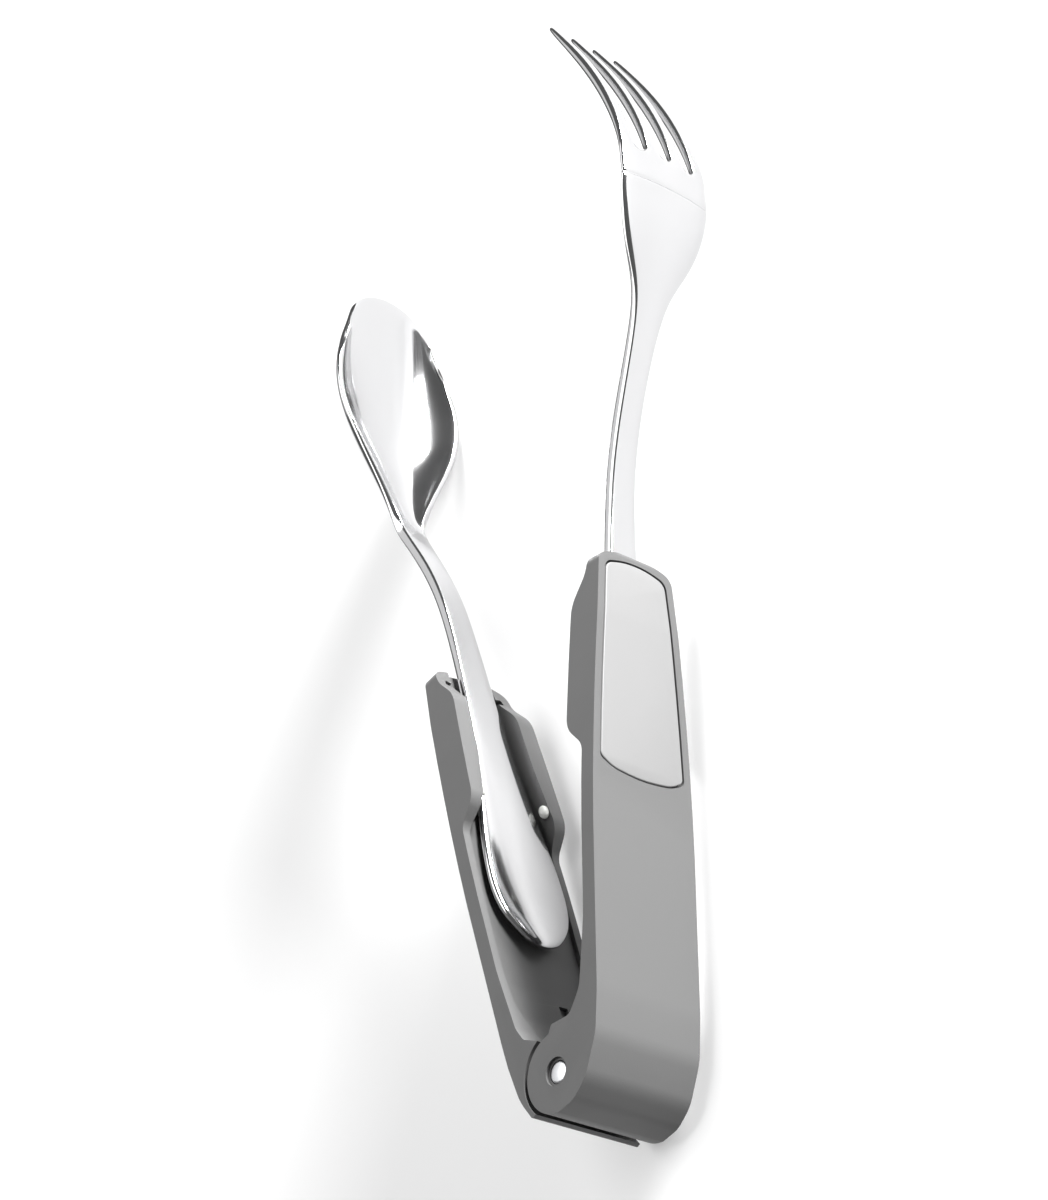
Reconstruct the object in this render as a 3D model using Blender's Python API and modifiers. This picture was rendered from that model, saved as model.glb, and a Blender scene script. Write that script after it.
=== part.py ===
"""Serving tongs that clip a fork and a spoon, as separate sub-parts. Metres, +Z up, hinge axis along Z.

Each arm is drawn in its own coordinates: u runs along the arm from the hinge, v outward, z across its width.
"""

from math import acos, atan2, cos, degrees, pi, radians, sin

import bmesh
import bpy
from mathutils import Matrix

MM = 0.001

# Arms
HALF_OPENING = 8.75  # degrees each arm stands off the mid-plane at rest
ARM_LENGTH = 104.0  # pin to the corner of the free end
ARM_HALF_WIDTH = 13.0
END_HALF_WIDTH = 9.6
OUTER_FACE = 11.5  # v of the outer face
END_DROP = 0.5  # how far the outer face falls by the free end
RIM_FACE = 8.2  # v of the rim's inner edge
TRAY_FLOOR = 9.3  # v of the recessed inner floor
RIM_WALL = 1.7
CREST_FACE = 3.7  # v of the cheeks' top
CHEEK_START = 62.5
CREST_START = 69.7
CREST_END = 92.7
CHANNEL_MOUTH_HALF = 8.8  # half the gap between the cheeks where the nubs stand
CHANNEL_HALF = 7.3
CHANNEL_END_HALF = 5.7
EDGE_ROUND = 1.1
SLOT_DEPTH = 0.7
NUB_TIP = 7.45  # the nubs stop just outside the handle's edge
NUB_GAP = 0.3

# Hinge stack, half-widths along the axis
PIN_R = 2.2
RUNNING = 0.06  # radial clearance on the pin
KNUCKLE_R = 7.9
CRADLE_R = 8.8
EAR_INNER = 8.0
WASHER = (7.25, 7.75)
WASHER_R = 4.6
LUG = (5.2, 7.0)
LUG_R = 5.6
HUB_CLEAR_R = 6.3
BUSH_HALF = 4.9
BUSH_R = 3.1
SHOULDER_R = 4.9
SHOULDER_LOW = 1.6
CAP_R = 3.6
CAP_THICK = 1.5
PIN_RECESS = 0.5

# Spring
WIRE = 1.1
COIL_R = 3.95
COIL_TURNS_WHOLE = 4
COIL_SIDES = 14
LEG_LIFT = 4.4  # how far each leg steps outward from the coil to lie in its arm's slot
COIL_PITCH = 1.22
COIL_LOW = -4.3
LEG_LENGTH = 21.0
LEG_SLOT_END = 25.0

# Panels
PANEL_START = 57.3
PANEL_END = 102.9
PANEL_BORDER = 1.7
PANEL_THICK = 1.05
PANEL_GAP = 0.3

# Utensils
HANDLE_START = 35.0
HANDLE_HALF = 9.8
STEM_HALF = 3.7
FORK_HALF = 11.9
FORK_LENGTH = 236.0
TINE_TIP_HALF = 10.9
SPOON_HALF = 17.0
SPOON_LENGTH = 215.0
BOWL_DEPTH = 8.5
STEEL_THICK = 1.7

MID = ARM_HALF_WIDTH  # height of the mid-plane above the resting face


def clear_scene():
    for obj in list(bpy.data.objects):
        bpy.data.objects.remove(obj)


def collection(name):
    made = bpy.data.collections.new(name)
    bpy.context.scene.collection.children.link(made)
    return made


def principled(name, colour, roughness, metallic):
    made = bpy.data.materials.new(name)
    made.use_nodes = True
    shader = made.node_tree.nodes["Principled BSDF"]
    shader.inputs["Base Color"].default_value = (*colour, 1.0)
    shader.inputs["Roughness"].default_value = roughness
    shader.inputs["Metallic"].default_value = metallic
    made.diffuse_color = (*colour, 1.0)
    return made


def rounded(corners, step=12.0):
    """A closed loop from (a, b, radius) corners, each radius cut to what its two sides allow."""
    loop = []
    count = len(corners)
    for i, (a, b, r) in enumerate(corners):
        pa, pb, _ = corners[i - 1]
        na, nb, _ = corners[(i + 1) % count]
        ux, uy = pa - a, pb - b
        wx, wy = na - a, nb - b
        lu = (ux * ux + uy * uy) ** 0.5
        lw = (wx * wx + wy * wy) ** 0.5
        ux, uy, wx, wy = ux / lu, uy / lu, wx / lw, wy / lw
        dot = max(-1.0, min(1.0, ux * wx + uy * wy))
        half = ((1 - dot) / 2) ** 0.5 / max(((1 + dot) / 2) ** 0.5, 1e-6)
        reach = min(r / half, 0.49 * lu, 0.49 * lw)
        turn = 180.0 - degrees(acos(dot))
        if reach < 1e-3 or turn < 1.0:
            loop.append((a, b))
            continue
        steps = max(1, round(turn / step))
        p = (a + ux * reach, b + uy * reach)
        q = (a + wx * reach, b + wy * reach)
        for k in range(steps + 1):
            t = k / steps
            # A rational quadratic with this weight is the exact arc.
            w = ((1 - dot) / 2) ** 0.5
            d = (1 - t) ** 2 + 2 * w * t * (1 - t) + t * t
            loop.append(
                (
                    ((1 - t) ** 2 * p[0] + 2 * w * t * (1 - t) * a + t * t * q[0]) / d,
                    ((1 - t) ** 2 * p[1] + 2 * w * t * (1 - t) * b + t * t * q[1]) / d,
                )
            )
    return loop


def arc(radius, start, end, steps):
    """Points (u, v) on a circle about the pin, angles in degrees from +u toward +v."""
    found = []
    for k in range(steps + 1):
        a = radians(start + (end - start) * k / steps)
        found.append((radius * cos(a), radius * sin(a)))
    return found


def slab(name, loop, low, high, matrix, side, where):
    """A flat outline made solid. matrix takes the outline's (a, b, thickness) to (u, v, z)."""
    curve = bpy.data.curves.new(name, "CURVE")
    curve.dimensions = "2D"
    curve.fill_mode = "BOTH"
    curve.extrude = (high - low) / 2 * MM
    spline = curve.splines.new("POLY")
    spline.points.add(len(loop) - 1)
    for point, (a, b) in zip(spline.points, loop):
        point.co = (a * MM, b * MM, 0.0, 1.0)
    spline.use_cyclic_u = True
    maker = bpy.data.objects.new(name + "_curve", curve)
    bpy.context.scene.collection.objects.link(maker)
    bpy.context.view_layer.update()
    graph = bpy.context.evaluated_depsgraph_get()
    mesh = bpy.data.meshes.new_from_object(maker.evaluated_get(graph))
    bpy.data.objects.remove(maker)
    bpy.data.curves.remove(curve)
    lift = Matrix.Translation((0, 0, (low + high) / 2 * MM))
    mesh.transform(SIDES[side] @ matrix @ lift)
    return solid(name, mesh, where)


# From an arm's own (u, v, z) to its object's axes: x outward (or the mirror of it), y along the arm.
SIDES = {
    "fork": Matrix(((0, 1, 0, 0), (1, 0, 0, 0), (0, 0, 1, 0), (0, 0, 0, 1))),
    "spoon": Matrix(((0, -1, 0, 0), (1, 0, 0, 0), (0, 0, 1, 0), (0, 0, 0, 1))),
}
PROFILE = Matrix.Identity(4)  # outline in (u, v), thickness across the width
PLAN = Matrix(((1, 0, 0, 0), (0, 0, 1, 0), (0, 1, 0, 0), (0, 0, 0, 1)))  # outline in (u, z)


def solid(name, mesh, where):
    bm = bmesh.new()
    bm.from_mesh(mesh)
    bmesh.ops.remove_doubles(bm, verts=bm.verts, dist=1e-6)
    bmesh.ops.recalc_face_normals(bm, faces=bm.faces)
    bm.to_mesh(mesh)
    bm.free()
    mesh.update()
    made = bpy.data.objects.new(name, mesh)
    where.objects.link(made)
    if where == CUTTERS:
        made.hide_render = True
        made.display_type = "WIRE"
    return made


def loft(name, rings, side, where):
    """Rings of (u, v, z) points in millimetres, all alike in number, closed by end caps."""
    bm = bmesh.new()
    rows = [[bm.verts.new((u * MM, v * MM, z * MM)) for u, v, z in ring] for ring in rings]
    for one, two in zip(rows, rows[1:]):
        for k in range(len(one)):
            m = (k + 1) % len(one)
            bm.faces.new((one[k], one[m], two[m], two[k]))
    bm.faces.new(rows[0])
    bm.faces.new(rows[-1])
    mesh = bpy.data.meshes.new(name)
    bm.to_mesh(mesh)
    bm.free()
    mesh.transform(SIDES[side])
    made = solid(name, mesh, where)
    smooth(made)
    return made


def turned(name, profile, where, steps=48):
    """A profile of (radius, z) in millimetres, top to bottom, turned about the pin's axis."""
    bm = bmesh.new()
    verts = [bm.verts.new((r * MM, 0, z * MM)) for r, z in profile]
    for one, two in zip(verts, verts[1:]):
        bm.edges.new((one, two))
    if profile[0][0] > 0:
        bm.edges.new((verts[-1], verts[0]))
    mesh = bpy.data.meshes.new(name)
    bm.to_mesh(mesh)
    bm.free()
    made = bpy.data.objects.new(name, mesh)
    where.objects.link(made)
    screw = made.modifiers.new("turn", "SCREW")
    screw.steps = steps
    screw.render_steps = steps
    screw.use_merge_vertices = True
    screw.merge_threshold = 0.00001
    screw.use_smooth_shade = True
    if where == CUTTERS:
        made.hide_render = True
        made.display_type = "WIRE"
    return made


def cylinder(name, radius, low, high, where, steps=48):
    made = turned(name, [(0, high), (radius, high), (radius, low), (0, low)], where, steps)
    return made


def smooth(obj):
    for face in obj.data.polygons:
        face.use_smooth = True


def boolean(target, cutter, operation="DIFFERENCE"):
    made = target.modifiers.new(f"{operation.lower()}_{cutter.name}", "BOOLEAN")
    made.object = cutter
    made.operation = operation
    made.solver = "EXACT"
    return made


def bevel(target, width, segments=2, angle=35.0):
    made = target.modifiers.new("edge_round", "BEVEL")
    made.width = width * MM
    made.segments = segments
    made.limit_method = "ANGLE"
    made.angle_limit = radians(angle)
    made.miter_outer = "MITER_ARC"
    return made


def half_width(u):
    """Half the arm's width at u: parallel to the middle, then drawn in toward the free end."""
    start = 46.0
    if u <= start:
        return ARM_HALF_WIDTH
    t = min(1.0, (u - start) / (ARM_LENGTH - start))
    return ARM_HALF_WIDTH - (ARM_HALF_WIDTH - END_HALF_WIDTH) * t**1.6


def mirrored(half):
    """A loop in (u, z) from its +z half, listed from the hinge to the free end."""
    return half + [(u, -z) for u, z in reversed(half)]


def arm_plan(inset=0.0, start=-14.0, end=ARM_LENGTH, bow=2.0, corner=2.4):
    half = [(start, half_width(0) - inset)]
    for u in (10.0, 30.0, 46.0, 54.0, 62.0, 70.0, 78.0, 86.0, 93.0):
        half.append((u, half_width(u) - inset))
    w = half_width(end) - inset
    half.append((end - corner, half_width(end - corner) - inset))
    half.append((end - corner * 0.35, w - corner * 0.25))
    half.append((end, w - corner))
    for t in (0.66, 0.33):
        half.append((end + bow * (1 - t * t), (w - corner) * t))
    return mirrored(half)


def outer_line():
    """(u, v, r) corners of the outer side from the free end back to the hinge."""
    return [
        (ARM_LENGTH + 2.2, CREST_FACE + 4.4, 1.4),
        (ARM_LENGTH + 2.2, OUTER_FACE - END_DROP, 2.4),
        (92.0, OUTER_FACE, 60.0),
        (13.0, OUTER_FACE, 40.0),
    ]


def inner_line():
    """(u, v, r) corners of the rim and the cheeks from the hinge's fillet to the free end."""
    return [
        (28.0, RIM_FACE, 40.0),
        (CHEEK_START + 0.6, RIM_FACE, 4.0),
        (CREST_START - 2.0, CREST_FACE, 5.5),
        (CREST_END + 2.0, CREST_FACE, 8.0),
        (100.5, CREST_FACE + 3.6, 8.0),
    ]


def fork_arm_profile():
    knuckle = [(u, v, 0) for u, v in arc(KNUCKLE_R, -14, -184, 20)]
    front = [(9.4, -1.1, 0.5), (9.9, 3.9, 2.0), (14.4, 6.7, 6.0)]
    back = [(4.6, 10.9, 12.0), (-3.2, 8.0, 8.0), (-6.6, 4.6, 5.0)]
    return front + inner_line() + outer_line() + back + knuckle[::-1]


def spoon_arm_profile():
    cradle = [(u, v, 0) for u, v in arc(CRADLE_R, 122, 17, 16)]
    front = [(10.9, 5.9, 2.0), (14.0, 7.1, 6.0)]
    back = [(8.0, 11.35, 20.0), (0.0, 10.5, 14.0), (-5.0, 8.5, 0.5)]
    return front + inner_line() + outer_line() + back + cradle


def tray_profile():
    """The floor's own side line: it leaves the hinge edge and settles to the flat floor."""
    return [
        (7.0, 1.0, 0),
        (12.2, 6.5, 4.0),
        (18.0, 8.7, 14.0),
        (27.0, TRAY_FLOOR, 20.0),
        (ARM_LENGTH + 8, TRAY_FLOOR, 0),
        (ARM_LENGTH + 8, -6.0, 0),
        (7.0, -6.0, 0),
    ]


def tray_plan():
    half = [
        (6.0, 6.4, 0),
        (12.5, 6.6, 4.0),
        (20.0, 10.9, 12.0),
        (34.0, half_width(34) - RIM_WALL, 60.0),
        (52.0, half_width(52) - RIM_WALL, 40.0),
        (CHEEK_START - 0.5, half_width(CHEEK_START) - RIM_WALL, 5.0),
        (CREST_START + 0.8, CHANNEL_MOUTH_HALF, 6.0),
        (81.0, CHANNEL_HALF, 60.0),
        (ARM_LENGTH + 8, CHANNEL_END_HALF - 0.5, 0),
    ]
    return half + [(u, -z, r) for u, z, r in reversed(half)]


def panel_plan(inset):
    half = [
        (PANEL_START + inset, 0.0),
        (PANEL_START + 0.4 + inset, 4.5),
        (PANEL_START + 1.2 + inset, 8.6),
        (PANEL_START + 2.1 + inset, half_width(59) - PANEL_BORDER - inset - 0.5),
        (PANEL_START + 3.1 + inset, half_width(60) - PANEL_BORDER - inset),
    ]
    for u in (68.0, 76.0, 84.0, 91.0, 97.0):
        half.append((u, half_width(u) - PANEL_BORDER - inset))
    end = PANEL_END - inset
    w = half_width(end) - PANEL_BORDER - inset
    half += [(end - 2.2, w + 0.25), (end - 0.7, w - 0.5), (end + 0.1, w - 2.2)]
    half += [(end + 1.0, w * 0.4), (end + 1.3, 0.0)]
    return half + [(u, -z) for u, z in reversed(half[1:-1])]


def spring_leg_slot(name, low, high, side):
    loop = [(6.5, low), (LEG_SLOT_END, low), (LEG_SLOT_END, high), (6.5, high)]
    return slab(name, loop, 3.0, TRAY_FLOOR + SLOT_DEPTH, PLAN, side, CUTTERS)


def cut_common(arm, side):
    tray = slab(f"{side}_tray", rounded(tray_profile()), -16, 16, PROFILE, side, CUTTERS)
    tray_top = slab(f"{side}_tray_plan", rounded(tray_plan(), 14), -8, 14, PLAN, side, CUTTERS)
    boolean(tray, tray_top, "INTERSECT")
    boolean(arm, tray)
    helpers = [tray, tray_top]
    for sign, word in ((1, "upper"), (-1, "lower")):
        loop = [(66.5, 7.9), (70.5, 4.3), (96.0, 3.2), (96.0, 5.6), (84.0, 6.9), (72.0, 8.3)]
        loop = [(u, sign * z) for u, z in loop]
        top, floor = CREST_FACE + 3.0, TRAY_FLOOR + SLOT_DEPTH
        slot = slab(f"{side}_slot_{word}", loop, top, floor, PLAN, side, CUTTERS)
        boolean(arm, slot)
        loop = [(99.6, 3.4), (101.0, 3.2), (102.3, 7.4), (100.8, 7.8)]
        loop = [(u, sign * z) for u, z in loop]
        pocket = slab(f"{side}_pocket_{word}", loop, 2.0, TRAY_FLOOR + 0.5, PLAN, side, CUTTERS)
        boolean(arm, pocket)
        helpers += [slot, pocket]
    seat = slab(
        f"{side}_seat", panel_plan(0), OUTER_FACE - PANEL_THICK - PANEL_GAP, 20, PLAN, side, CUTTERS
    )
    boolean(arm, seat)
    return helpers + [seat]


def make_fork_arm(holder, material):
    arm = slab("fork_arm", rounded(fork_arm_profile()), -16, 16, PROFILE, "fork", PARTS)
    outline = slab("fork_plan", arm_plan(), -20, 20, PLAN, "fork", CUTTERS)
    boolean(arm, outline, "INTERSECT")
    bevel(arm, EDGE_ROUND)
    helpers = [outline]
    # Between the ears the knuckle keeps only its outer cap, which clears the spoon arm's lugs.
    sink_r = PIN_R + 0.55
    seat_r = CAP_R + 0.2
    bore_r = PIN_R + RUNNING
    seat_z = -ARM_HALF_WIDTH + CAP_THICK + 0.3
    steps = [(sink_r, 16, 12.4), (bore_r, 12.4, EAR_INNER), (HUB_CLEAR_R, EAR_INNER, -EAR_INNER),
             (bore_r, -EAR_INNER, seat_z), (seat_r, seat_z, -16)]
    profile = [(0, 16)] + [(r, z) for r, *ends in steps for z in ends] + [(0, -16)]
    well = turned("fork_well", profile, CUTTERS)
    mouth_loop = [(11.6, -9.5), (11.6, 3.2), (6.0, 6.3), (0.0, 4.0), (-2.4, -9.5)]
    mouth = slab("fork_mouth", mouth_loop, -EAR_INNER, EAR_INNER, PROFILE, "fork", CUTTERS)
    leg = spring_leg_slot("fork_leg_slot", 0.35, 2.65, "fork")
    for cutter in (well, mouth, leg):
        boolean(arm, cutter)
        helpers.append(cutter)
    helpers += cut_common(arm, "fork")
    finish(arm, holder, material, helpers)
    return arm


def make_spoon_arm(holder, material):
    arm = slab("spoon_arm", rounded(spoon_arm_profile()), -16, 16, PROFILE, "spoon", PARTS)
    outline = slab("spoon_plan", arm_plan(), -20, 20, PLAN, "spoon", CUTTERS)
    boolean(arm, outline, "INTERSECT")
    bevel(arm, EDGE_ROUND * 0.6)
    helpers = [outline]
    lug_loop = arc(LUG_R, 75, 395, 28)
    lug_loop = [(9.6, 3.9), (9.2, 5.6)] + [(2.6, 9.3)] + lug_loop
    for sign, word in ((1, "upper"), (-1, "lower")):
        low, high = sorted((sign * LUG[0], sign * LUG[1]))
        lug = slab(f"spoon_lug_{word}", lug_loop, low, high, PROFILE, "spoon", CUTTERS)
        boolean(arm, lug, "UNION")
        helpers.append(lug)
    bore = cylinder("spoon_bore", PIN_R + RUNNING, -16, 16, CUTTERS)
    leg = spring_leg_slot("spoon_leg_slot", -4.9, -2.6, "spoon")
    for cutter in (bore, leg):
        boolean(arm, cutter)
        helpers.append(cutter)
    helpers += cut_common(arm, "spoon")
    finish(arm, holder, material, helpers)
    return arm


def finish(obj, holder, material, helpers=()):
    obj.data.materials.clear()
    obj.data.materials.append(material)
    for one in (obj, *helpers):
        one.parent = holder


def make_panel(name, side, holder, material):
    seat = OUTER_FACE - PANEL_THICK
    made = slab(name, panel_plan(PANEL_GAP), seat, OUTER_FACE, PLAN, side, PARTS)
    crown = slab(f"{name}_crown", rounded(crown_line()), -16, 16, PROFILE, side, CUTTERS)
    boolean(made, crown, "INTERSECT")
    bevel(made, 0.25, 1)
    finish(made, holder, material, [crown])
    return made


def crown_line():
    """The outer face's side line, which trims the panel flush with the arm."""
    return [
        (40.0, 0.0, 0),
        (ARM_LENGTH + 2.2, 0.0, 0),
        (ARM_LENGTH + 2.2, OUTER_FACE - END_DROP, 2.4),
        (92.0, OUTER_FACE, 60.0),
        (40.0, OUTER_FACE, 0),
    ]


def make_nub(name, side, sign, holder, material):
    """A half-round peg standing out of a cheek's inner wall over the handle's edge."""
    loop = [(u, v) for u, v in arc(1.35, 0, 360, 20)[:-1]]
    loop = [(u * 1.1 + CREST_START + 1.6, v * 0.8 + CREST_FACE + 1.25) for u, v in loop]
    low, high = sorted((sign * NUB_TIP, sign * (CHANNEL_MOUTH_HALF - NUB_GAP)))
    made = slab(name, loop, low, high, PROFILE, side, PARTS)
    bevel(made, 0.3, 2)
    finish(made, holder, material)
    return made


def section(u, v, half, thick, dome, slope, count=20, power=2.6):
    """A lens-shaped ring across the blade: dome lifts its middle toward the inside of the tongs."""
    ring = []
    for k in range(count):
        a = 2 * pi * k / count
        c, s = cos(a), sin(a)
        z = half * abs(c) ** (2 / power) * (1 if c >= 0 else -1)
        t = thick / 2 * abs(s) ** (2 / power) * (1 if s >= 0 else -1)
        bend = -dome * (1 - (z / half) ** 2) if half > 0 else 0
        n = t + bend
        ring.append((u - n * sin(slope), v + n * cos(slope), z))
    return ring


def blade(name, stations, side, holder, material, count=20):
    """stations: (u, v, half width, thickness, dome)."""
    rings = []
    for i, (u, v, half, thick, dome) in enumerate(stations):
        a = stations[max(i - 1, 0)]
        b = stations[min(i + 1, len(stations) - 1)]
        rings.append(section(u, v, half, thick, dome, atan2(b[1] - a[1], b[0] - a[0]), count))
    made = loft(name, rings, side, PARTS)
    finish(made, holder, material)
    return made


def handle_stations():
    """The teardrop handle and the stem as far as both utensils share them."""
    w = HANDLE_HALF
    s = STEM_HALF
    return [
        (HANDLE_START, 7.3, 0.9, 0.9, 0.0),
        (HANDLE_START + 0.7, 7.3, 3.2, 1.5, 0.1),
        (HANDLE_START + 2.2, 7.3, 5.6, 2.0, 0.4),
        (HANDLE_START + 5.0, 7.3, 7.9, 2.3, 0.8),
        (HANDLE_START + 9.0, 7.3, 9.3, 2.4, 1.1),
        (HANDLE_START + 15.0, 7.3, w, 2.4, 1.2),
        (HANDLE_START + 22.0, 7.3, w * 0.965, 2.4, 1.2),
        (HANDLE_START + 30.0, 7.25, w * 0.84, 2.4, 1.1),
        (HANDLE_START + 38.0, 7.2, w * 0.68, 2.45, 0.9),
        (HANDLE_START + 47.0, 7.1, w * 0.545, 2.5, 0.6),
        (HANDLE_START + 58.0, 7.0, s * 1.15, 2.6, 0.3),
        (HANDLE_START + 71.0, 6.9, s, 2.7, 0.1),
        (HANDLE_START + 82.0, 7.0, s * 0.88, 2.8, 0.0),
    ]


def make_fork(holder, material):
    f = FORK_HALF
    length = FORK_LENGTH
    stations = handle_stations() + [
        (127.5, 7.6, 3.1, 2.8, 0.0),
        (140.0, 10.2, 2.9, 2.8, 0.0),
        (153.0, 14.3, 3.1, 2.6, 0.0),
        (162.0, 17.2, 3.9, 2.4, -0.1),
        (168.0, 19.0, 6.0, 2.2, -0.5),
        (173.0, 20.5, 8.9, 2.0, -1.0),
        (179.0, 21.9, 11.2, 1.9, -1.3),
        (185.6, 22.6, f, 1.8, -1.2),
        (193.3, 22.2, f, 1.8, -1.0),
        (204.0, 18.6, 11.7, 1.9, -0.8),
        (216.0, 12.6, 11.4, 1.9, -0.5),
        (227.0, 5.4, 11.1, 1.7, -0.2),
        (length, -1.0, TINE_TIP_HALF, 1.0, 0.0),
    ]
    fork = blade("fork", stations, "fork", holder, material, 24)
    helpers = []
    for k, z in enumerate((-6.0, 0.0, 6.0)):
        spread = z * TINE_TIP_HALF / FORK_HALF
        loop = [
            (191.7, z * 0.985 - 0.55, 0),
            (191.7, z * 0.985 + 0.55, 0),
            (192.8, z * 0.985 + 1.15, 0),
            (225.0, spread + 1.6, 0),
            (length + 4, spread + 2.3, 0),
            (length + 4, spread - 2.3, 0),
            (225.0, spread - 1.6, 0),
            (192.8, z * 0.985 - 1.15, 0),
        ]
        gap = slab(f"fork_gap_{k + 1}", rounded(loop), -10, 32, PLAN, "fork", CUTTERS)
        boolean(fork, gap)
        helpers.append(gap)
    for sign, word in ((1, "upper"), (-1, "lower")):
        tip = TINE_TIP_HALF - 1.4
        loop = [(212.0, f + 0.2), (length + 4, tip), (length + 4, 16.0), (212.0, 16.0)]
        loop = [(u, sign * z) for u, z in loop]
        trim = slab(f"fork_trim_{word}", loop, -10, 32, PLAN, "fork", CUTTERS)
        boolean(fork, trim)
        helpers.append(trim)
    finish(fork, holder, material, helpers)
    return fork


def bowl_ring(u, v, half, dish, thick, count):
    """A dished ring: the bowl hangs outward from its rim line by dish at its middle."""
    ring = []
    side = count // 2
    for k in range(side + 1):
        c = cos(pi * k / side)
        z = half * c
        ring.append((u, v + dish * (1 - c * c) - thick * 0.25, z))
    for k in range(1, side):
        c = -cos(pi * k / side)
        z = half * c
        ring.append((u, v + dish * (1 - c * c) + thick * 0.75, z))
    return ring


def make_spoon(holder, material):
    h = SPOON_HALF
    d = BOWL_DEPTH
    count = 24
    t = STEEL_THICK
    stations = handle_stations() + [
        (127.0, 7.5, 3.1, 2.8, 0.0),
        (137.0, 9.4, 3.0, 2.8, 0.0),
        (146.0, 12.0, 3.1, 2.7, 0.0),
    ]
    rings = []
    for i, (u, v, half, thick, dome) in enumerate(stations):
        a = stations[max(i - 1, 0)]
        b = stations[min(i + 1, len(stations) - 1)]
        ring = section(u, v, half, thick, dome, atan2(b[1] - a[1], b[0] - a[0]), count)
        rings.append([ring[(-k) % count] for k in range(count)])
    bowl_start, bowl_end = 151.0, SPOON_LENGTH
    rim_start, rim_end = 13.6, 3.0
    for s in (0.0, 0.05, 0.12, 0.2, 0.3, 0.42, 0.54, 0.66, 0.77, 0.86, 0.92, 0.96, 0.985, 0.997, 1.0):
        u = bowl_start + (bowl_end - bowl_start) * s
        rim = rim_start + (rim_end - rim_start) * s**0.9 - 3.0 * sin(pi * s) * 0.35
        half = 3.3 * max(0.0, 1 - s * 3) + h * bowl_width(s) + 0.5 * s
        dish = d * bowl_width(s) * (1 - 0.2 * s)
        rings.append(bowl_ring(u, rim, half, dish, t * (1.4 - 0.4 * min(1.0, s * 4)), count))
    made = loft("spoon", rings, "spoon", PARTS)
    finish(made, holder, material)
    return made


def bowl_width(s):
    """An egg-shaped outline: 0 at the neck, 1 at its widest, narrow again at the tip."""
    grow = sin(pi / 2 * min(1.0, s / 0.58)) ** 1.25
    fall = 1.0 if s < 0.58 else max(0.0, 1 - ((s - 0.58) / 0.42) ** 2.2) ** 0.5
    return grow * fall


def spring_leg(sign, s, lean):
    """A point s along the leg on one side: it steps outward from the coil to lie in its arm's slot."""
    lift = COIL_R + LEG_LIFT * min(1.0, max(0.0, (s - 4.0) / 7.0))
    return sign * (s * sin(lean) + lift * cos(lean)), s * cos(lean) - lift * sin(lean)


def make_spring(material):
    """The coil about the pin with one leg lying along each arm."""
    points = []
    lean = radians(HALF_OPENING)
    stations = (4.0, 8.5, 14.0, LEG_LENGTH)
    first = pi + lean
    last = -lean
    turn = 2 * pi * (COIL_TURNS_WHOLE + 1) - (first - last)
    steps = round(turn / (2 * pi) * COIL_SIDES)
    rise = COIL_PITCH * turn / (2 * pi)
    for s in reversed(stations):
        x, y = spring_leg(-1, s, lean)
        points.append((x, y, COIL_LOW))
    for k in range(steps + 1):
        a = first + turn * k / steps
        points.append((COIL_R * cos(a), COIL_R * sin(a), COIL_LOW + rise * k / steps))
    for s in stations:
        x, y = spring_leg(1, s, lean)
        points.append((x, y, COIL_LOW + rise))
    curve = bpy.data.curves.new("torsion_spring", "CURVE")
    curve.dimensions = "3D"
    curve.bevel_depth = WIRE / 2 * MM
    curve.bevel_resolution = 2
    curve.use_fill_caps = True
    spline = curve.splines.new("POLY")
    spline.points.add(len(points) - 1)
    for point, (x, y, z) in zip(spline.points, points):
        point.co = (x * MM, y * MM, (z + MID) * MM, 1.0)
    maker = bpy.data.objects.new("spring_curve", curve)
    bpy.context.scene.collection.objects.link(maker)
    bpy.context.view_layer.update()
    graph = bpy.context.evaluated_depsgraph_get()
    mesh = bpy.data.meshes.new_from_object(maker.evaluated_get(graph))
    bpy.data.objects.remove(maker)
    bpy.data.curves.remove(curve)
    made = solid("torsion_spring", mesh, PARTS)
    smooth(made)
    made.data.materials.clear()
    made.data.materials.append(material)
    return made


def make_hinge_parts(holder, steel, bushing, washer):
    top = ARM_HALF_WIDTH - PIN_RECESS
    low = -ARM_HALF_WIDTH + CAP_THICK + 0.05
    profile = [(0, top), (PIN_R - 0.25, top), (PIN_R, top - 0.25), (PIN_R, low), (0, low)]
    pin = turned("hinge_pin", profile, PARTS)
    inner = PIN_R + RUNNING
    cap_top = -ARM_HALF_WIDTH + CAP_THICK
    profile = [(0, cap_top), (CAP_R, cap_top), (CAP_R, -ARM_HALF_WIDTH), (0, -ARM_HALF_WIDTH)]
    cap = turned("hinge_pin_cap", profile, PARTS)
    profile = [
        (inner, BUSH_HALF),
        (SHOULDER_R, BUSH_HALF),
        (SHOULDER_R, SHOULDER_LOW + 0.1),
        (BUSH_R, SHOULDER_LOW),
        (BUSH_R, -BUSH_HALF),
        (inner, -BUSH_HALF),
    ]
    bush = turned("spring_bush", profile, PARTS, 32)
    made = [pin, cap, bush]
    for sign, word in ((1, "upper"), (-1, "lower")):
        low, high = sorted((sign * WASHER[0], sign * WASHER[1]))
        profile = [(inner, high), (WASHER_R, high), (WASHER_R, low), (inner, low)]
        made.append(turned(f"thrust_washer_{word}", profile, PARTS, 32))
    for obj, material in zip(made, (steel, steel, bushing, washer, washer)):
        finish(obj, holder, material)
    return made


def axis_empty(name, angle):
    made = bpy.data.objects.new(name, None)
    PARTS.objects.link(made)
    made.location = (0, 0, MID * MM)
    made.rotation_euler = (0, 0, radians(angle))
    return made


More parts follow.
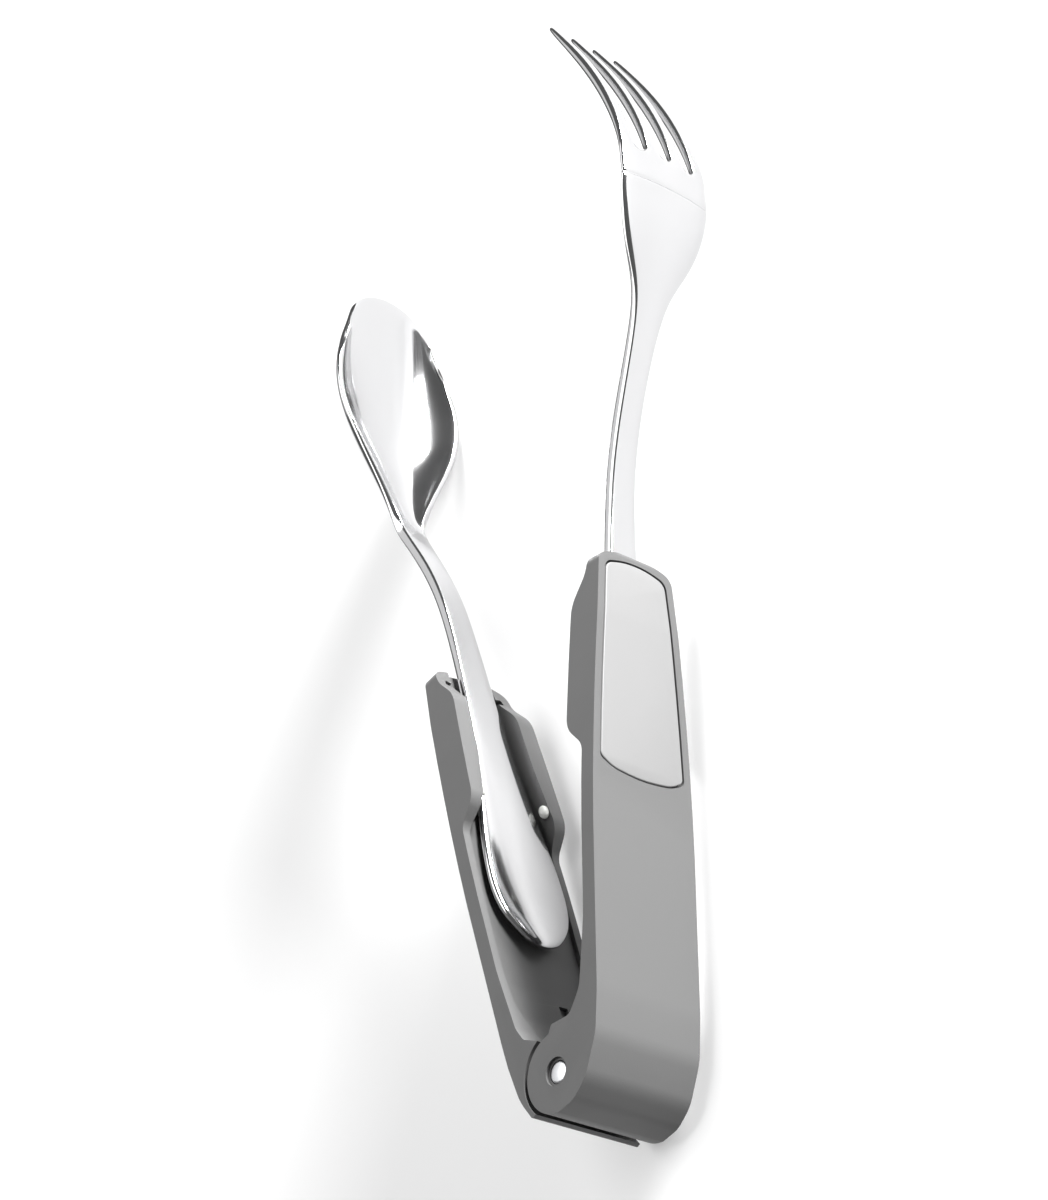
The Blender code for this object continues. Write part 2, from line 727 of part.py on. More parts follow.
def main():
    fork_side = axis_empty("fork_arm_axis", -HALF_OPENING)
    spoon_side = axis_empty("spoon_arm_axis", HALF_OPENING)
    grey = principled("grey_moulded_plastic", (0.13, 0.13, 0.135), 0.5, 0.0)
    light = principled("light_panel_plastic", (0.42, 0.42, 0.43), 0.42, 0.0)
    pale = principled("pale_nub_plastic", (0.62, 0.62, 0.6), 0.4, 0.0)
    steel = principled("polished_steel", (0.72, 0.72, 0.73), 0.12, 1.0)
    wire = principled("spring_steel", (0.6, 0.6, 0.62), 0.28, 1.0)
    dark = principled("grey_bush_plastic", (0.2, 0.2, 0.21), 0.5, 0.0)
    nylon = principled("dark_washer_nylon", (0.05, 0.05, 0.05), 0.6, 0.0)
    make_fork_arm(fork_side, grey)
    make_spoon_arm(spoon_side, grey)
    make_panel("fork_arm_panel", "fork", fork_side, light)
    make_panel("spoon_arm_panel", "spoon", spoon_side, light)
    make_hinge_parts(fork_side, steel, dark, nylon)
    for side, holder in (("fork", fork_side), ("spoon", spoon_side)):
        for sign, word in ((1, "upper"), (-1, "lower")):
            make_nub(f"{side}_arm_nub_{word}", side, sign, holder, pale)
    make_fork(fork_side, steel)
    make_spoon(spoon_side, steel)
    make_spring(wire)


clear_scene()
PARTS = collection("picnic_cutlery")
CUTTERS = collection("cutters")
CUTTERS.hide_render = True
main()
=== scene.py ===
"""Looks for a pair of sprung serving tongs that hold a fork and a spoon."""

from math import acos, atan2, cos, degrees, pi, radians, sin

import bmesh
import bpy
from bpy.props import FloatProperty, FloatVectorProperty, IntProperty, PointerProperty
from bpy.types import Operator, Panel, PropertyGroup
from mathutils import Matrix, Vector


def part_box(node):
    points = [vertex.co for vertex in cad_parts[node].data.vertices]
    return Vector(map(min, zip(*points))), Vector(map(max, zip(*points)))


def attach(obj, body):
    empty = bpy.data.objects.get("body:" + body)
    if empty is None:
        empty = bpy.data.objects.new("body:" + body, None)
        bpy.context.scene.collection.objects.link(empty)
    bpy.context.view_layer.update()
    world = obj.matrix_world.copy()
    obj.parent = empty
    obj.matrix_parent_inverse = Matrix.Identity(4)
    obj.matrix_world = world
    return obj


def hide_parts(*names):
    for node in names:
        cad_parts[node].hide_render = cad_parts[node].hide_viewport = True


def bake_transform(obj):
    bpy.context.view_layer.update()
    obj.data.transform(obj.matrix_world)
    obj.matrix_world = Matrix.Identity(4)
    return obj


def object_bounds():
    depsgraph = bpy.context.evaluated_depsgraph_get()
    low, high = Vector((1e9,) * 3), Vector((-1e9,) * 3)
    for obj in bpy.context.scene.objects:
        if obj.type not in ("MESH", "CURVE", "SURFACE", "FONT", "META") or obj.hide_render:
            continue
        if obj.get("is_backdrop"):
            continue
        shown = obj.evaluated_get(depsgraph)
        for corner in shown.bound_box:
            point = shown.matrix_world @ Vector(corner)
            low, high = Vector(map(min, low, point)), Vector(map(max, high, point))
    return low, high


bl_info = {
    "name": "Picnic Tongs Looks",
    "version": (1, 0, 0),
    "blender": (4, 5, 0),
    "location": "3D View > Sidebar > Tongs",
    "description": "Builds the finished pieces of a sprung tongs holder with its fork and spoon",
    "category": "Add Mesh",
}

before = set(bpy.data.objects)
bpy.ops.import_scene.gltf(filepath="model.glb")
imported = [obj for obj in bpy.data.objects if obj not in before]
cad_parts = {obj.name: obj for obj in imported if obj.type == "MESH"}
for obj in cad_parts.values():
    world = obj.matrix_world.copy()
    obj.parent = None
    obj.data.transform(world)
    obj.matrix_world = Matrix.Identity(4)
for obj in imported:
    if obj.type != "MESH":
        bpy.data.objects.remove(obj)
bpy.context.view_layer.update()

MM = 0.001
# The mid-plane of both arms, halfway up their width.
HINGE_HEIGHT = sum(c[2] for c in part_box("fork_arm")) / 2

# The arms' own coordinates: u along the arm from the pin, v outward, z across the width, in millimetres.
HALF_OPENING = 8.75
ARM_LENGTH = 104.0
ARM_HALF_WIDTH = 13.0
END_HALF_WIDTH = 9.6
TAPER_START = 46.0  # the arm narrows from here to its free end
OUTER_FACE = 11.5
END_DROP = 0.5
RIM_FACE = 8.2
TRAY_FLOOR = 9.3
RIM_WALL = 1.7
CREST_FACE = 3.7
CHEEK_START = 62.5
CREST_START = 69.7
CREST_END = 92.7
CHANNEL_MOUTH_HALF = 8.8
CHANNEL_HALF = 7.3
CHANNEL_END_HALF = 5.7
PIN_R = 2.2
BORE_R = 2.26
PIN_SINK_Z = 12.4  # the floor of the sink round the pin's end
KNUCKLE_R = 7.9
CRADLE_R = 8.8
EAR_INNER = 8.0
LUG_OUTER, LUG_INNER = 7.0, 5.2
WASHER_OUTER, WASHER_INNER = 7.75, 7.25
HUB_CLEAR_R = 6.3
CAP_SEAT_R = 3.8
CAP_SEAT_Z = -11.2
LEG_SLOT_START, LEG_SLOT_END = 6.5, 25.0
FORK_LEG_SLOT = (0.35, 2.65)  # heights of the slot for the spring's leg
SPOON_LEG_SLOT = (-4.9, -2.6)
NUB_TIP = 7.45
SPOON_EDGE_SHARE = 0.62  # the spoon arm's edge rounding over the fork arm's
PANEL_START = 57.3
PANEL_END = 102.9
PANEL_BORDER = 1.7
PANEL_THICK = 1.05
PANEL_GAP = 0.34
PANEL_EDGE = 0.28
HANDLE_START = 35.0
BOWL_START, SPOON_END = 150.5, 215.0
BOWL_RIM_START, BOWL_RIM_END = 13.4, 3.0
PAST_ARM = 16.0  # blanks and tools run this far from the mid-plane, past both edges of an arm
FLOOR_HALF = 6.0  # metres
FLOOR_DROP = 0.0002  # metres between the floor and the lowest piece

BODY_OF = {"fork": "fork_arm_body", "spoon": "spoon_arm_body"}


# ---------------------------------------------------------------- properties


def length_mm(name, description, default, low=0.0, high=1.0):
    return FloatProperty(
        name=name,
        description=description,
        default=default * MM,
        min=low,
        max=high,
        unit="LENGTH",
        precision=5,
    )


def power(name, description, default):
    return FloatProperty(name=name, description=description, default=default, min=0.0, unit="POWER")


def linear(code):
    """sRGB hex to the linear red, green and blue that the shader nodes take."""
    found = []
    for k in (1, 3, 5):
        c = int(code[k : k + 2], 16) / 255
        found.append(c / 12.92 if c <= 0.04045 else ((c + 0.055) / 1.055) ** 2.4)
    return tuple(found)


def colour(name, description, code):
    return FloatVectorProperty(
        name=name,
        description=description,
        default=linear(code),
        size=3,
        subtype="COLOR",
        min=0.0,
        max=1.0,
    )


class TongsArmSettings(PropertyGroup):
    edge_round: length_mm("Edge rounding", "Radius of the moulded arms' outer edges", 1.15)
    rim_round: length_mm("Rim rounding", "Radius of the rims' and cheeks' inner edges", 0.22)
    body_colour: colour("Body colour", "Moulded grey plastic of both arms", "#525252")
    panel_colour: colour("Panel colour", "Lighter plastic of the inlaid panels", "#727272")
    nub_colour: colour("Nub colour", "Pale plastic of the retention nubs", "#C9CAC6")


class TongsSpringSettings(PropertyGroup):
    wire_radius: length_mm("Wire radius", "Half the spring wire's thickness", 0.55)
    coil_radius: length_mm("Coil radius", "Mean radius of the coil about the pin", 3.95)
    pitch: length_mm("Coil pitch", "Rise of the coil in one turn", 1.22)
    low: length_mm("Coil start", "Height of the coil's first turn from the mid-plane", -4.3, -1.0, 1.0)
    leg_length: length_mm("Leg length", "Length of each leg along its arm", 21.0)
    leg_lift: length_mm("Leg step", "How far each leg steps out from the coil into its slot", 4.4)
    turns: IntProperty(
        name="Whole turns", description="Whole turns of wire in the coil", default=4, min=1, max=12
    )
    wire_colour: colour("Wire colour", "Drawn spring steel", "#B4B6B9")


class TongsCutlerySettings(PropertyGroup):
    handle_half: length_mm("Handle half width", "Half the widest part of the teardrop handle", 9.8)
    stem_half: length_mm("Stem half width", "Half the stem's width where it leaves the arm", 3.7)
    fork_half: length_mm("Fork head half width", "Half the fork head's width", 11.9)
    bowl_half: length_mm("Bowl half width", "Half the spoon bowl's width", 17.0)
    bowl_depth: length_mm("Bowl depth", "Depth of the spoon's bowl under its rim", 8.5)
    steel_colour: colour("Steel colour", "Polished stainless steel", "#C4C4C5")


class TongsStageSettings(PropertyGroup):
    floor_colour: colour("Floor colour", "Plain pale floor", "#F6F6F6")
    key_power: power("Key light", "Power of the side softbox", 240.0)
    top_power: power("Top light", "Power of the overhead softbox", 14.0)
    back_power: power("Back light", "Power of the softbox behind", 5.5)
    world_strength: FloatProperty(
        name="Surround", description="Strength of the even white surround", default=0.15, min=0.0
    )
    camera_lens: FloatProperty(
        name="Lens", description="Focal length in millimetres", default=106.0, min=10.0, max=400.0
    )


SETTINGS = {
    "tongs_arm": TongsArmSettings,
    "tongs_spring": TongsSpringSettings,
    "tongs_cutlery": TongsCutlerySettings,
    "tongs_stage": TongsStageSettings,
}


# ---------------------------------------------------------------- placing and meshes


def arm_matrix(side):
    """From an arm's (u, v, z) to the shared frame: the fork arm leans to +X, the spoon arm mirrors it."""
    sign = 1 if side == "fork" else -1
    local = Matrix(((0, sign, 0, 0), (1, 0, 0, 0), (0, 0, 1, 0), (0, 0, 0, 1)))
    turn = Matrix.Rotation(radians(-sign * HALF_OPENING), 4, "Z")
    return Matrix.Translation((0, 0, HINGE_HEIGHT)) @ turn @ local


def link(obj):
    bpy.context.scene.collection.objects.link(obj)
    return obj


def mesh_object(name, bm):
    mesh = bpy.data.meshes.new(name)
    bm.to_mesh(mesh)
    bm.free()
    return link(bpy.data.objects.new(name, mesh))


def frozen(obj, name=None):
    """The object's evaluated mesh as a plain object of its own; the maker and its modifiers go."""
    bpy.context.view_layer.update()
    graph = bpy.context.evaluated_depsgraph_get()
    mesh = bpy.data.meshes.new_from_object(
        obj.evaluated_get(graph), preserve_all_data_layers=True, depsgraph=graph
    )
    mesh.transform(obj.matrix_world)
    name = name or obj.name
    bpy.data.objects.remove(obj)
    made = link(bpy.data.objects.new(name, mesh))
    made.name = name
    mesh.name = name
    return made


def place(obj, matrix, sharp=None):
    """Moves a mesh by matrix, turns its faces outward and keeps edges over sharp degrees crisp."""
    obj.data.transform(matrix)
    bm = bmesh.new()
    bm.from_mesh(obj.data)
    bmesh.ops.remove_doubles(bm, verts=bm.verts, dist=2e-6)
    bmesh.ops.recalc_face_normals(bm, faces=bm.faces)
    for face in bm.faces:
        face.smooth = True
    if sharp is not None:
        for edge in bm.edges:
            edge.smooth = not (edge.is_manifold and edge.calc_face_angle(0) > radians(sharp))
    bm.to_mesh(obj.data)
    bm.free()
    obj.data.update()
    return obj


def modifier(obj, kind, **settings):
    made = obj.modifiers.new(kind.lower(), kind)
    for key, value in settings.items():
        setattr(made, key, value)


def bevel(obj, width, segments, angle, **settings):
    modifier(
        obj,
        "BEVEL",
        width=width,
        segments=segments,
        limit_method="ANGLE",
        angle_limit=radians(angle),
        **settings,
    )


def cut(obj, tool, operation="DIFFERENCE"):
    modifier(obj, "BOOLEAN", object=tool, operation=operation, solver="EXACT")
    tool.hide_render = True
    tool.display_type = "WIRE"


def drop(*objs):
    for obj in objs:
        bpy.data.objects.remove(obj)


def finish(obj, body, nodes, material):
    """The piece takes its material, stands for its CAD nodes and rides on their body."""
    obj.data.materials.clear()
    obj.data.materials.append(material)
    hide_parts(*nodes)
    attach(obj, body)


# ---------------------------------------------------------------- outlines


def rounded(corners, step=5.0):
    """A closed loop from (a, b, radius) corners, each radius cut to what its two sides allow."""
    loop = []
    count = len(corners)
    for i, (a, b, r) in enumerate(corners):
        here = Vector((a, b))
        before = Vector(corners[i - 1][:2]) - here
        after = Vector(corners[(i + 1) % count][:2]) - here
        room = 0.49 * min(before.length, after.length)
        before.normalize()
        after.normalize()
        dot = max(-1.0, min(1.0, before.dot(after)))
        turn = 180.0 - degrees(acos(dot))
        open_half = ((1 - dot) / 2) ** 0.5
        # The arc starts r / tan(half the corner's own angle) from the corner, if there is room.
        reach = min(r * ((1 + dot) / 2) ** 0.5 / max(open_half, 1e-6), room)
        if turn < 0.5 or reach < 1e-3:
            loop.append((a, b))
            continue
        steps = max(2, round(turn / step))
        p = here + before * reach
        q = here + after * reach
        for k in range(steps + 1):
            t = k / steps
            d = (1 - t) ** 2 + 2 * open_half * t * (1 - t) + t * t
            point = ((1 - t) ** 2 * p + 2 * open_half * t * (1 - t) * here + t * t * q) / d
            loop.append((point.x, point.y))
    return loop


def arc(radius, start, end, steps):
    found = []
    for k in range(steps + 1):
        a = radians(start + (end - start) * k / steps)
        found.append((radius * cos(a), radius * sin(a)))
    return found


def prism(name, loop, low, high, plan=False):
    """A flat outline given thickness: in (u, v) across the width, or as a plan in (u, z) along v."""
    bm = bmesh.new()
    rows = []
    for level in (low, high):
        if plan:
            rows.append([bm.verts.new((a * MM, level * MM, b * MM)) for a, b in loop])
        else:
            rows.append([bm.verts.new((a * MM, b * MM, level * MM)) for a, b in loop])
    bm.faces.new(rows[0])
    bm.faces.new(list(reversed(rows[1])))
    for k in range(len(loop)):
        m = (k + 1) % len(loop)
        bm.faces.new((rows[0][k], rows[0][m], rows[1][m], rows[1][k]))
    bmesh.ops.recalc_face_normals(bm, faces=bm.faces)
    return mesh_object(name, bm)


def turned(name, profile, steps=96):
    """A profile of (radius, z) in millimetres turned about the pin, closed where it meets the axis."""
    bm = bmesh.new()
    verts = [bm.verts.new((r * MM, 0, z * MM)) for r, z in profile]
    for one, two in zip(verts, verts[1:]):
        bm.edges.new((one, two))
    if profile[0][0] > 0:
        bm.edges.new((verts[-1], verts[0]))
    bmesh.ops.spin(
        bm, geom=bm.verts[:] + bm.edges[:], cent=(0, 0, 0), axis=(0, 0, 1), angle=2 * pi, steps=steps
    )
    bmesh.ops.remove_doubles(bm, verts=bm.verts, dist=1e-6)
    bmesh.ops.recalc_face_normals(bm, faces=bm.faces)
    return mesh_object(name, bm)


def half_width(u):
    if u <= TAPER_START:
        return ARM_HALF_WIDTH
    t = min(1.0, (u - TAPER_START) / (ARM_LENGTH - TAPER_START))
    return ARM_HALF_WIDTH - (ARM_HALF_WIDTH - END_HALF_WIDTH) * t**1.6


def both_sides(half):
    return half + [(p[0], -p[1], *p[2:]) for p in reversed(half)]


def arm_plan():
    half = [(-14.0, half_width(0), 0)]
    half += [(u, half_width(u), 80.0) for u in (TAPER_START, 55.0, 64.0, 73.0, 82.0, 91.0)]
    half.append((ARM_LENGTH + 0.1, half_width(ARM_LENGTH), 2.9))
    half.append((ARM_LENGTH + 2.1, 3.4, 20.0))
    return rounded(both_sides(half), 3.0)


def end_line():
    return [
        (ARM_LENGTH + 2.2, CREST_FACE + 4.4, 1.4),
        (ARM_LENGTH + 2.2, OUTER_FACE - END_DROP, 2.4),
        (92.0, OUTER_FACE, 60.0),
        (13.0, OUTER_FACE, 40.0),
    ]


def inner_line():
    return [
        (28.0, RIM_FACE, 40.0),
        (CHEEK_START + 0.6, RIM_FACE, 4.0),
        (CREST_START - 2.0, CREST_FACE, 5.5),
        (CREST_END + 2.0, CREST_FACE, 8.0),
        (100.5, CREST_FACE + 3.6, 8.0),
    ]


def fork_arm_outline():
    knuckle = [(u, v, 0) for u, v in arc(KNUCKLE_R, -184, -14, 46)]
    front = [(9.4, -1.1, 0.5), (9.9, 3.9, 2.0), (14.4, 6.7, 6.0)]
    back = [(4.6, 10.9, 12.0), (-3.2, 8.0, 8.0), (-6.6, 4.6, 5.0)]
    return rounded(front + inner_line() + end_line() + back + knuckle)


def spoon_arm_outline():
    cradle = [(u, v, 0) for u, v in arc(CRADLE_R, 122, 17, 36)]
    front = [(10.9, 5.9, 2.0), (14.0, 7.1, 6.0)]
    back = [(8.0, 11.35, 20.0), (0.0, 10.5, 14.0), (-5.0, 8.5, 0.5)]
    return rounded(front + inner_line() + end_line() + back + cradle)


def tray_outline():
    return rounded(
        [
            (7.0, 1.0, 0),
            (12.2, 6.5, 4.0),
            (18.0, 8.7, 14.0),
            (27.0, TRAY_FLOOR, 20.0),
            (ARM_LENGTH + 8, TRAY_FLOOR, 0),
            (ARM_LENGTH + 8, -6.0, 0),
            (7.0, -6.0, 0),
        ]
    )


def tray_plan():
    half = [
        (6.0, 6.4, 0),
        (12.5, 6.6, 4.0),
        (20.0, 10.9, 12.0),
        (34.0, half_width(34) - RIM_WALL, 60.0),
        (52.0, half_width(52) - RIM_WALL, 40.0),
        (CHEEK_START - 0.5, half_width(CHEEK_START) - RIM_WALL, 5.0),
        (CREST_START + 0.8, CHANNEL_MOUTH_HALF, 6.0),
        (81.0, CHANNEL_HALF, 60.0),
        (ARM_LENGTH + 8, CHANNEL_END_HALF - 0.5, 0),
    ]
    return rounded(both_sides(half))


def panel_plan(inset):
    half = [
        (PANEL_START + inset, 0.0, 60.0),
        (PANEL_START + 0.9 + inset, 7.6, 60.0),
        (PANEL_START + 2.6 + inset, half_width(60) - PANEL_BORDER - inset, 1.4),
    ]
    half += [(u, half_width(u) - PANEL_BORDER - inset, 80.0) for u in (70.0, 78.0, 86.0, 94.0)]
    end = PANEL_END - inset
    half.append((end - 0.1, half_width(end) - PANEL_BORDER - inset, 2.4))
    half.append((end + 1.3, 2.8, 20.0))
    loop = half + [(u, -z, r) for u, z, r in reversed(half[1:])]
    return rounded(loop, 4.0)


# ---------------------------------------------------------------- arms


# Corners in plan of the two recesses in each cheek.
CHEEK_SLOT = (
    (66.5, 7.9, 0),
    (70.5, 4.3, 0.5),
    (96.0, 3.2, 0.4),
    (96.0, 5.6, 0.4),
    (84.0, 6.9, 0),
    (72.0, 8.3, 0),
)
CHEEK_POCKET = ((99.6, 3.4, 0.3), (101.0, 3.2, 0.4), (102.3, 7.4, 0.4), (100.8, 7.8, 0.4))


def common_tools(side):
    """What is cut from both arms: the tray, the cheeks' recesses and the panel's seat."""
    tray = prism(f"{side}_tray", tray_outline(), -PAST_ARM, PAST_ARM)
    tray_sides = prism(f"{side}_tray_sides", tray_plan(), -8, 14, plan=True)
    cut(tray, tray_sides, "INTERSECT")
    tools = [frozen(tray)]
    drop(tray_sides)
    for sign in (1, -1):
        for word, corners, step, low, high in (
            ("slot", CHEEK_SLOT, 12, CREST_FACE + 3.0, TRAY_FLOOR + 0.7),
            ("pocket", CHEEK_POCKET, 15, 2.0, TRAY_FLOOR + 0.5),
        ):
            loop = rounded([(u, sign * z, r) for u, z, r in corners], step)
            tools.append(prism(f"{side}_{word}", loop, low, high, plan=True))
    seat = OUTER_FACE - PANEL_THICK - PANEL_GAP
    tools.append(prism(f"{side}_panel_seat", panel_plan(0), seat, 20, plan=True))
    return tools


def hinge_well():
    """The room turned out about the pin: pin sink, bores, the middle between the ears and the cap's seat."""
    steps = [
        (PIN_R + 0.55, PAST_ARM, PIN_SINK_Z),
        (BORE_R, PIN_SINK_Z, EAR_INNER),
        (HUB_CLEAR_R, EAR_INNER, -EAR_INNER),
        (BORE_R, -EAR_INNER, CAP_SEAT_Z),
        (CAP_SEAT_R, CAP_SEAT_Z, -PAST_ARM),
    ]
    profile = [(0, PAST_ARM)] + [(r, z) for r, *ends in steps for z in ends] + [(0, -PAST_ARM)]
    return turned("hinge_well", profile)


def leg_slot(side, low, high):
    start, end = LEG_SLOT_START, LEG_SLOT_END
    loop = rounded([(start, low, 0), (end, low, 0.3), (end, high, 0.3), (start, high, 0)], 15)
    return prism(f"{side}_leg_slot", loop, 3.0, TRAY_FLOOR + 0.7, plan=True)


def make_arm(side, outline, settings, own_tools, added=()):
    """The outline and the plan's common shape, edges rounded, with what is added and what is cut."""
    arm = prism(f"{side}_arm_blank", outline, -PAST_ARM, PAST_ARM)
    plan = prism(f"{side}_arm_plan", arm_plan(), -20, 20, plan=True)
    cut(arm, plan, "INTERSECT")
    width = settings.edge_round * (1 if side == "fork" else SPOON_EDGE_SHARE)
    bevel(arm, width, 4, 40, miter_outer="MITER_ARC")
    for tool in added:
        cut(arm, tool, "UNION")
    tools = own_tools + common_tools(side)
    for tool in tools:
        cut(arm, tool)
    bevel(arm, settings.rim_round, 2, 42, use_clamp_overlap=True)
    arm = frozen(arm, f"{side}_arm_moulding")
    drop(plan, *added, *tools)
    place(arm, arm_matrix(side), sharp=38)
    return arm


class TONGS_OT_fork_arm(Operator):
    """Moulds the fork arm: knuckle ears, rim, cheeks and panel seat"""

    bl_idname = "tongs.fork_arm"
    bl_label = "Fork arm"

    def execute(self, context):
        settings = context.scene.tongs_arm
        mouth = [(11.6, -9.5), (11.6, 3.2), (6.0, 6.3), (0.0, 4.0), (-2.4, -9.5)]
        room = prism("fork_mouth", mouth, -EAR_INNER, EAR_INNER)
        tools = [hinge_well(), room, leg_slot("fork", *FORK_LEG_SLOT)]
        arm = make_arm("fork", fork_arm_outline(), settings, tools)
        finish(arm, BODY_OF["fork"], ["fork_arm"], moulded_plastic(settings))
        return {"FINISHED"}


class TONGS_OT_spoon_arm(Operator):
    """Moulds the spoon arm: hinge cradle, lugs, rim, cheeks and panel seat"""

    bl_idname = "tongs.spoon_arm"
    bl_label = "Spoon arm"

    def execute(self, context):
        settings = context.scene.tongs_arm
        loop = [(9.6, 3.9), (9.2, 5.6), (2.6, 9.3)] + arc(5.6, 75, 395, 64)
        lugs = [
            prism("spoon_lug_upper", loop, LUG_INNER, LUG_OUTER),
            prism("spoon_lug_lower", loop, -LUG_OUTER, -LUG_INNER),
        ]
        bore = [(0, PAST_ARM), (BORE_R, PAST_ARM), (BORE_R, -PAST_ARM), (0, -PAST_ARM)]
        tools = [turned("spoon_bore", bore), leg_slot("spoon", *SPOON_LEG_SLOT)]
        arm = make_arm("spoon", spoon_arm_outline(), settings, tools, lugs)
        finish(arm, BODY_OF["spoon"], ["spoon_arm"], moulded_plastic(settings))
        return {"FINISHED"}


class TONGS_OT_panels(Operator):
    """Makes the lighter inlaid panel of each arm's outer face"""

    bl_idname = "tongs.panels"
    bl_label = "Inlaid panels"

    def execute(self, context):
        settings = context.scene.tongs_arm
        material = panel_plastic(settings)
        for side in ("fork", "spoon"):
            back = OUTER_FACE - PANEL_THICK
            panel = prism(f"{side}_panel_blank", panel_plan(PANEL_GAP), back, 14, plan=True)
            crown = [
                (40.0, 0.0, 0),
                (ARM_LENGTH + 2.2, 0.0, 0),
                *end_line()[1:3],
                (40.0, OUTER_FACE, 0),
            ]
            trim = prism(f"{side}_panel_trim", rounded(crown), -PAST_ARM, PAST_ARM)
            cut(panel, trim, "INTERSECT")
            bevel(panel, PANEL_EDGE * MM, 3, 40)
            panel = frozen(panel, f"{side}_arm_inlay")
            drop(trim)
            place(panel, arm_matrix(side), sharp=38)
            finish(panel, BODY_OF[side], [f"{side}_arm_panel"], material)
        return {"FINISHED"}


class TONGS_OT_nubs(Operator):
    """Makes the pale round nubs that stand in the mouth of each channel"""

    bl_idname = "tongs.nubs"
    bl_label = "Retention nubs"

    def execute(self, context):
        material = nub_plastic(context.scene.tongs_arm)
        for side in ("fork", "spoon"):
            for sign, word in ((1, "upper"), (-1, "lower")):
                nub = self.make(f"{side}_arm_peg_{word}", sign)
                place(nub, arm_matrix(side))
                finish(nub, BODY_OF[side], [f"{side}_arm_nub_{word}"], material)
        return {"FINISHED"}

    def make(self, name, sign):
        """A peg lofted from the cheek's wall to a rounded nose."""
        bm = bmesh.new()
        rows = []
        root = CHANNEL_MOUTH_HALF - 0.1
        for t, size in ((0.0, 1.0), (0.35, 0.99), (0.6, 0.93), (0.8, 0.8), (0.93, 0.58), (1.0, 0.3)):
            z = root + (NUB_TIP - root) * t
            ring = []
            for k in range(28):
                a = 2 * pi * k / 28
                u = CREST_START + 1.6 + 1.5 * size * cos(a)
                v = CREST_FACE + 1.25 + 1.05 * size * sin(a)
                ring.append(bm.verts.new((u * MM, v * MM, sign * z * MM)))
            rows.append(ring)
        for one, two in zip(rows, rows[1:]):
            for k in range(28):
                m = (k + 1) % 28
                bm.faces.new((one[k], one[m], two[m], two[k]))
        bm.faces.new(rows[0])
        bm.faces.new(rows[-1])
        return mesh_object(name, bm)


# ---------------------------------------------------------------- hinge


class TONGS_OT_hinge(Operator):
    """Turns the pin, its cap, the bush and the two washers"""

    bl_idname = "tongs.hinge"
    bl_label = "Hinge pin, cap, bush and washers"

    def execute(self, context):
        steel = ground_pin_steel()
        bush = bush_acetal()
        washer = washer_nylon()
        top, low = 12.5, -11.45
        pin = [
            (0, top),
            (1.7, top - 0.02),
            (2.0, top - 0.1),
            (2.13, top - 0.22),
            (PIN_R, top - 0.4),
            (PIN_R, low),
            (0, low),
        ]
        cap = [
            (0, -11.5),
            (3.4, -11.5),
            (3.6, -11.7),
            (3.6, -12.75),
            (3.5, -12.92),
            (3.3, -13.0),
            (0, -13.0),
        ]
        coil_bush = [
            (BORE_R, 4.9),
            (4.7, 4.9),
            (4.9, 4.7),
            (4.9, 1.8),
            (4.75, 1.68),
            (3.1, 1.6),
            (3.1, -4.7),
            (2.9, -4.9),
            (BORE_R, -4.9),
        ]
        pieces = [
            ("pin_end", pin, "hinge_pin", steel, "polished_steel"),
            ("pin_cap", cap, "hinge_pin_cap", steel, "polished_steel"),
            ("coil_bush", coil_bush, "spring_bush", bush, "grey_bush_plastic"),
        ]
        for sign, word in ((1, "upper"), (-1, "lower")):
            one, two = sorted((sign * WASHER_OUTER, sign * WASHER_INNER), reverse=True)
            ring = [
                (BORE_R, one),
                (4.5, one),
                (4.6, one - 0.08),
                (4.6, two + 0.08),
                (4.5, two),
                (BORE_R, two),
            ]
            pieces.append((f"washer_{word}", ring, f"thrust_washer_{word}", washer, "dark_washer_nylon"))
        for name, profile, node, material, record_slot in pieces:
            made = turned(name, profile)
            place(made, Matrix.Translation((0, 0, HINGE_HEIGHT)), sharp=30)
            finish(made, BODY_OF["fork"], [node], material)
        return {"FINISHED"}


